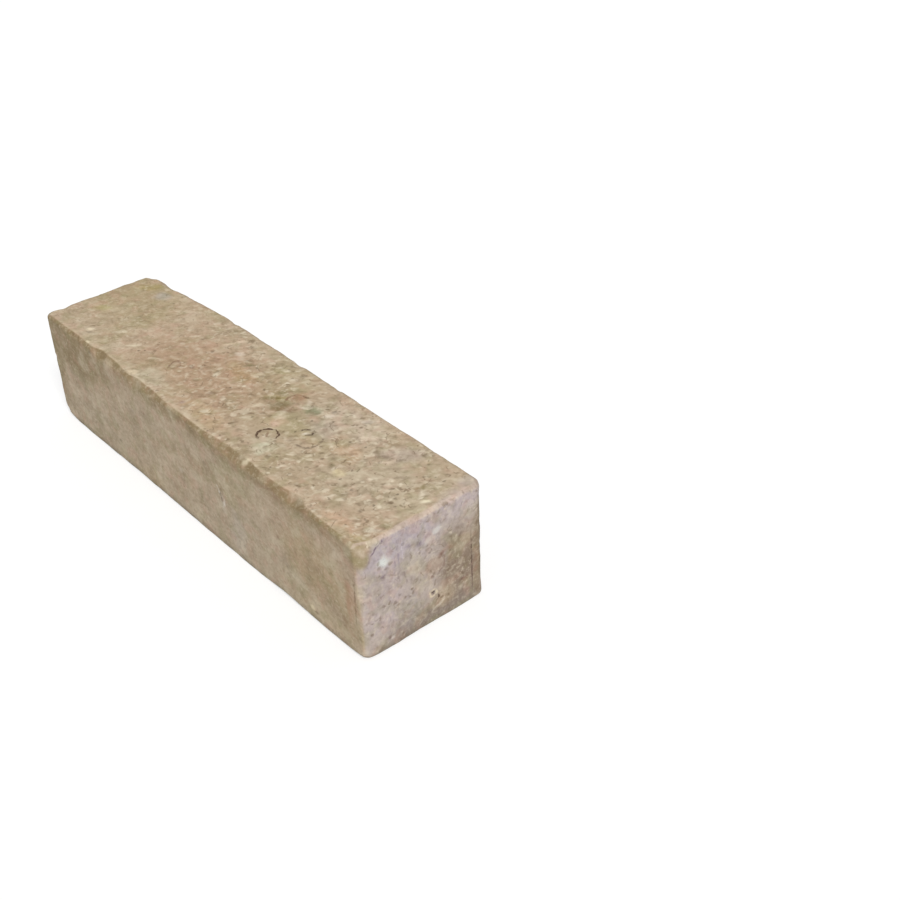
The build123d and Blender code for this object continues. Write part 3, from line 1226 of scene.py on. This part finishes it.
class LimestoneShader:
    """Builds the limestone layer by layer. Each layer adds to the colour and to the height."""

    def __init__(self, finish: LimestoneFinish) -> None:
        """Start from the broad colour that the skin carries.

        Args:
            finish: The colours and sizes to build from.
        """
        self.finish = finish
        self.shader = Shader(bpy.data.materials.new("limestone"))
        place = self.shader.node("TexCoord", {}).outputs["Object"]
        self.at = self.shader.vector("SCALE", place, 1 / MM)
        self.bent = self.moved(self.at, finish.broad_bend)
        self.wavy = self.moved(self.at, finish.small_bend)
        self.gentle = self.moved(self.at, finish.slow_bend)
        self.uneven = self.moved(self.gentle, finish.flake_bend)
        self.colour = self.attribute("tone", "Color")
        self.hollow = self.attribute("hollow", "Fac")
        self.shelly = self.attribute("shelly", "Fac")
        self.flat = self.attribute("flat", "Fac")
        self.height = 0.0

    def attribute(self, name: str, output: str) -> Socket:
        """Read one of the skin's own attributes."""
        return self.shader.node("Attribute", {}, attribute_name=name).outputs[output]

    def moved(self, at: Socket, bend: Span) -> Socket:
        """Move places a little in all three directions, which makes straight things uneven.

        Args:
            at: Places, in millimetres.
            bend: How far apart the bends lie, and the largest offset either way, in millimetres.

        Returns:
            The moved places.
        """
        size, reach = bend
        noise = self.shader.noise(self.at, size, 1.0).outputs["Color"]
        centred = self.shader.vector("SUBTRACT", noise, (0.5, 0.5, 0.5))
        return self.shader.vector("ADD", at, self.shader.vector("SCALE", centred, 2 * reach))

    def along_bedding(self, at: Socket) -> Socket:
        """Turn and squeeze places, so that a pattern read there lies along the bedding planes.

        Args:
            at: Places, in millimetres.

        Returns:
            The turned and squeezed places.
        """
        finish = self.finish
        dip, strike = math.radians(finish.bedding_dip), math.radians(finish.bedding_strike)
        squeeze = (finish.bedding_stretch, finish.bedding_stretch, 1)
        inputs = {"Vector": at, "Rotation": (-dip, 0, strike), "Scale": squeeze}
        return self.shader.node("Mapping", inputs, vector_type="TEXTURE").outputs[0]

    def lay(self, colour: Colour, amount: object, strength: float) -> None:
        """Lay a colour over what is there, where amount says.

        Args:
            colour: The colour, as a screen shows it.
            amount: Mask between 0 and 1.
            strength: How opaque the layer is at most.
        """
        share = self.shader.maths("MULTIPLY", amount, strength, clamp=True)
        inputs = {0: share, 6: self.colour, 7: srgb(*colour)}
        self.colour = self.shader.node("Mix", inputs, data_type="RGBA").outputs[2]

    def raise_by(self, amount: object, height: float) -> None:
        """Raise the surface by height, in millimetres, where amount says, or sink it."""
        change = self.shader.maths("MULTIPLY", amount, height)
        self.height = self.shader.maths("ADD", self.height, change)

    def times(self, *factors: object) -> Socket:
        """Multiply masks together."""
        product = factors[0]
        for factor in factors[1:]:
            product = self.shader.maths("MULTIPLY", product, factor)
        return product

    def bedded(self, at: Socket, kind: Cloud) -> Socket:
        """Read a noise that lies along the bedding on the top face and has no grain elsewhere.

        Args:
            at: Where to read it, in millimetres.
            kind: The noise's size and character.

        Returns:
            The noise's socket.
        """
        settings = (kind.size, kind.detail, kind.rough, kind.bend)
        plain = self.shader.noise(at, *settings).outputs["Fac"]
        layered = self.shader.noise(self.along_bedding(at), *settings).outputs["Fac"]
        return self.shader.node("Mix", {0: self.flat, 2: plain, 3: layered}).outputs[0]

    def patches(self, at: Socket, kind: Patches) -> Socket:
        """Mask the stone in soft patches of one kind."""
        noise = self.shader.noise(at, kind.size, kind.detail, kind.rough).outputs["Fac"]
        return self.shader.step(noise, kind.low, kind.high, kind.left)

    def cloud(self, noise: object, kind: Cloud, mask: object) -> Socket:
        """Lay cream where a noise is high and umber where it is low.

        Args:
            noise: The noise.
            kind: How far it has to stray for each colour, and how strong the colours are.
            mask: Where the cloud may show.

        Returns:
            The mask of the cream.
        """
        masks = []
        finish = self.finish
        sides = ((finish.cream, 1, kind.cream), (finish.umber, -1, kind.umber))
        for colour, way, strength in sides:
            shown = self.shader.step(noise, 0.5 + way * kind.near, 0.5 + way * kind.far)
            masks.append(self.times(shown, mask))
            self.lay(colour, masks[-1], strength)
        return masks[0]

    def strew(self, kind: Crumbs, at: object, masks: tuple, thinned: tuple = ()) -> None:
        """Strew pale and dark bits of shell, raised and sunk a little.

        Args:
            kind: The bits' size, shape and colours.
            at: Where to read their cells, in millimetres.
            masks: Where they may lie.
            thinned: Masks that thin their colours, and the dark bits' depth too.
        """
        distance, numbers = self.shader.cells(at, kind.size)
        shape = self.times(self.shader.step(distance, kind.reach, kind.core), *masks)
        pale = self.times(shape, self.shader.step(numbers[0], *kind.pale_pick))
        dark = self.times(shape, self.shader.step(numbers[0], *kind.dark_pick), *thinned)
        self.lay(self.finish.cream, self.times(pale, *thinned), kind.pale)
        self.lay(self.finish.umber, dark, kind.dark)
        self.raise_by(pale, kind.raised)
        self.raise_by(dark, -kind.sunk)

    def hues(self) -> None:
        """Let the ground wander between rose and olive, in soft patches of about a centimetre."""
        finish = self.finish
        noise = self.shader.noise(self.bent, *finish.hue_grain).outputs["Color"]
        rose, olive, _ = self.shader.split(noise)
        self.lay(finish.rose, self.shader.step(rose, *finish.hue_step), finish.rose_strength)
        self.lay(finish.olive, self.shader.step(olive, *finish.hue_step), finish.olive_strength)

    def mottling(self) -> None:
        """Cloud the ground lightly at three sizes, from a centimetre to a millimetre."""
        finish = self.finish
        bare = self.shader.maths("SUBTRACT", finish.bareness, self.shelly)
        self.cloud(self.bedded(self.gentle, finish.clouds), finish.clouds, bare)
        mottle = self.bedded(self.gentle, finish.mottle)
        self.cloud(mottle, finish.mottle, self.shelly)
        self.raise_by(self.times(mottle, self.shelly), finish.mottle.height)
        stretch = (1 / finish.grain_stretch, 1.0, 1.0)
        lengthwise = self.shader.vector("MULTIPLY", self.wavy, stretch)
        kind = finish.grain
        grain = self.shader.noise(lengthwise, kind.size, kind.detail, kind.rough).outputs["Fac"]
        self.cloud(grain, kind, bare)
        self.raise_by(grain, kind.height)

    def flakes(self) -> None:
        """Strew wisps and flakes of shell along the bedding, thicker in some patches."""
        finish = self.finish
        laid_here = self.times(self.patches(self.at, finish.thickness), self.shelly)
        squeezed = self.along_bedding(self.uneven)
        wisps = self.bedded(self.uneven, finish.wisps)
        self.raise_by(self.cloud(wisps, finish.wisps, laid_here), finish.wisps.height)
        for kind in finish.flakes:
            at = self.shader.vector("ADD", squeezed, kind.shift)
            self.strew(kind, at, (laid_here, self.flat))

    def broken_shells(self) -> None:
        """Scatter clusters of broken shell: pale and dark crumbs, and short curved rims."""
        shader, finish = self.shader, self.finish
        cluster = self.times(self.patches(self.bent, finish.clusters), self.shelly)
        lost = shader.maths("MULTIPLY", self.flat, finish.crumbs_lost_on_top)
        fewer = shader.maths("SUBTRACT", 1.0, lost)
        self.strew(finish.crumbs, self.wavy, (cluster,), (fewer,))
        rings = shader.noise(self.bent, *finish.rim_noise).outputs["Fac"]
        short = self.times(self.patches(self.wavy, finish.rim_parts), self.shelly)
        off = shader.maths("ABSOLUTE", shader.maths("SUBTRACT", rings, 0.5))
        line = self.times(shader.step(off, *finish.rim_step), short)
        self.lay(finish.umber, line, finish.rim_strength)
        self.raise_by(line, -finish.rim_depth)

    def placed_line(self, line: Line) -> Socket:
        """Mask one placed line, from how far each place is from its ellipse's middle.

        Args:
            line: The line.

        Returns:
            The mask, full along the drawn rim or inside the filled ellipse.
        """
        shader, finish, face = self.shader, self.finish, line.face
        inputs = {
            "Vector": self.at if line.is_straight else self.wavy,
            "Location": face.place(*line.middle),
            "Rotation": face.turning(line.turn),
            "Scale": face.ordered(*line.radii, finish.line_reach),
        }
        local = shader.node("Mapping", inputs, vector_type="TEXTURE").outputs[0]
        away = shader.vector("LENGTH", local)
        if line.width is None:
            drawn = shader.step(away, *finish.line_filled)
        else:
            share = line.width / min(line.radii)
            off = shader.maths("ABSOLUTE", shader.maths("SUBTRACT", away, 1.0))
            drawn = shader.step(off, *(share * edge for edge in finish.line_edge))
        if line.towards is not None:
            angle = math.radians(line.towards)
            way = face.ordered(math.cos(angle), math.sin(angle), 0.0)
            facing = shader.vector("DOT_PRODUCT", local, way)
            ends = (line.spread - finish.line_end, line.spread + finish.line_end)
            drawn = self.times(drawn, shader.step(facing, *ends))
        return drawn

    def placed_lines(self) -> None:
        """Draw the rims and lines that stand out, each where it lies on the stone.

        Only the strongest are cut into the surface too, which keeps the shader small enough.
        """
        finish = self.finish
        broken = self.patches(self.at, finish.broken_line)
        for line in finish.lines:
            drawn = self.times(self.placed_line(line), broken)
            self.lay(line.colour, drawn, line.strength)
            if line.strength >= finish.deep_from:
                self.raise_by(drawn, -finish.line_depth)

    def pits(self) -> None:
        """Paint shade into the open pits of the skin, and add finer shaded pits between them."""
        shader, finish = self.shader, self.finish
        # Painted shade in the pits, darker where they are deeper
        self.lay(finish.pit_shade_colour, shader.step(self.hollow, *finish.pit_shade), finish.pit_shade_strength)
        distance, numbers = shader.cells(self.wavy, finish.fine_pit_cell)
        held = self.times(shader.step(numbers[2], *finish.fine_pit_pick), self.shelly)
        fine = self.times(shader.step(distance, *finish.fine_pit_edge), held)
        # Painted shade in the finer pits
        self.lay(finish.pit_shade_colour, fine, finish.fine_pit_shade_strength)
        self.raise_by(fine, -finish.fine_pit_depth)

    def material(self) -> bpy.types.Material:
        """Lay every layer in turn and join them to the surface.

        Returns:
            The finished material.
        """
        self.hues()
        self.mottling()
        self.flakes()
        self.broken_shells()
        self.placed_lines()
        self.pits()
        shader, finish = self.shader, self.finish
        bump = {"Distance": MM, "Strength": finish.bump_strength, "Height": self.height}
        surface = {
            "Base Color": self.colour,
            "Roughness": finish.roughness,
            "Specular IOR Level": finish.shine,
            "Normal": shader.node("Bump", bump).outputs["Normal"],
        }
        principled = shader.node("BsdfPrincipled", surface)
        shader.node("OutputMaterial", {"Surface": principled.outputs["BSDF"]})
        return shader.owner


# Studio


@dataclass(frozen=True)
class Camera:
    """The camera that took the reference view, in metres and degrees."""

    place: tuple[float, float, float] = (0.7119, -0.4054, 0.5950)
    azimuth: float = 50.012
    elevation: float = 34.891
    roll: float = -1.815
    focal_pixels: float = 1336.6
    image_pixels: float = 900.0
    sensor_width: float = 36.0

    def build(self) -> bpy.types.Object:
        """Place the camera and make it the scene's.

        Returns:
            The camera object.
        """
        turn, lift, roll = map(math.radians, (self.azimuth, self.elevation, self.roll))
        level = math.cos(lift)
        back = Vector((math.sin(turn) * level, -math.cos(turn) * level, math.sin(lift)))
        right = Vector((0, 0, 1)).cross(back).normalized()
        above = back.cross(right)
        across = right * math.cos(roll) + above * math.sin(roll)
        upright = above * math.cos(roll) - right * math.sin(roll)
        data = bpy.data.cameras.new("camera")
        data.sensor_width = self.sensor_width
        data.lens = self.sensor_width * self.focal_pixels / self.image_pixels
        camera = bpy.data.objects.new("camera", data)
        axes = Matrix((across, upright, back)).transposed().to_4x4()
        camera.matrix_world = Matrix.Translation(self.place) @ axes
        bpy.context.scene.collection.objects.link(camera)
        bpy.context.scene.camera = camera
        return camera


@dataclass(frozen=True)
class Studio:
    """Pale floor, soft key light and an even pale surround."""

    floor_reach: float = 6.0
    floor_cells: int = 8
    floor_white: float = 1.04
    bounce_albedo: float = 0.6
    shadow_share: float = 0.6
    sky_strength: float = 0.45
    key_towards: tuple[float, float, float] = (0.600, -0.303, 0.741)
    key_strength: float = 2.33
    key_angle: float = 24.0

    def floor(self) -> bpy.types.Object:
        """Make the floor: a flat grid in two parameters, at the height the stone stands on.

        Returns:
            The floor object.
        """
        cells, row = self.floor_cells, self.floor_cells + 1
        lines = np.linspace(-self.floor_reach, self.floor_reach, row)
        u, v = np.meshgrid(lines, lines, indexing="ij")
        points = np.stack([u.ravel(), v.ravel(), np.full(u.size, CAD_LOW.z)], axis=1)
        first = (np.arange(cells)[:, None] * row + np.arange(cells)).ravel()
        quads = np.stack([first, first + row, first + row + 1, first + 1], axis=1)
        floor = new_mesh_object("floor", points, quads)
        floor.data.materials.append(self.floor_material())
        return floor

    def floor_material(self) -> bpy.types.Material:
        """White to the camera with a soft shadow, and a duller white to the light it bounces.

        Returns:
            The floor's material.
        """
        shader = Shader(bpy.data.materials.new("floor_white"))
        diffuse = {"Color": (self.shadow_share,) * 3 + (1,)}
        glow = {"Color": (1, 1, 1, 1), "Strength": self.floor_white - self.shadow_share}
        parts = (shader.node("BsdfDiffuse", diffuse), shader.node("Emission", glow))
        seen = shader.node("AddShader", {i: part.outputs[0] for i, part in enumerate(parts)})
        bounced = shader.node("BsdfDiffuse", {"Color": (self.bounce_albedo,) * 3 + (1,)})
        shader.show("OutputMaterial", seen, bounced)
        return shader.owner

    def key_light(self) -> bpy.types.Object:
        """Make the soft key light that comes over the camera's right shoulder.

        Returns:
            The light object.
        """
        data = bpy.data.lights.new("key", "SUN")
        data.energy = self.key_strength
        data.angle = math.radians(self.key_angle)
        light = bpy.data.objects.new("key", data)
        light.rotation_mode = "QUATERNION"
        light.rotation_quaternion = Vector(self.key_towards).to_track_quat("Z", "Y")
        bpy.context.scene.collection.objects.link(light)
        return light

    def surround(self) -> bpy.types.World:
        """Light the scene evenly from all round, and show white behind it.

        Returns:
            The world.
        """
        shader = Shader(bpy.data.worlds.new("surround"))
        lit, seen = (
            shader.node("Background", {"Color": (1, 1, 1, 1), "Strength": strength})
            for strength in (self.sky_strength, 1.0)
        )
        shader.show("OutputWorld", seen, lit)
        bpy.context.scene.world = shader.owner
        return shader.owner

    def build(self) -> None:
        """Make the floor, the light and the surround."""
        self.floor()
        self.key_light()
        self.surround()
        bpy.context.scene.view_settings.view_transform = "Standard"


def main() -> None:
    """Build the camera, the studio and the stone."""
    logging.basicConfig(level=logging.INFO, format="%(name)s: %(message)s")
    Camera().build()
    Studio().build()
    stone = StoneSurface().build()
    stone.data.materials.append(LimestoneFinish().material())
    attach(stone, "root")
    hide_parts(NODE)
    log.info("%s has %d quads", stone.name, len(stone.data.polygons))


if __name__ == "__main__":
    main()
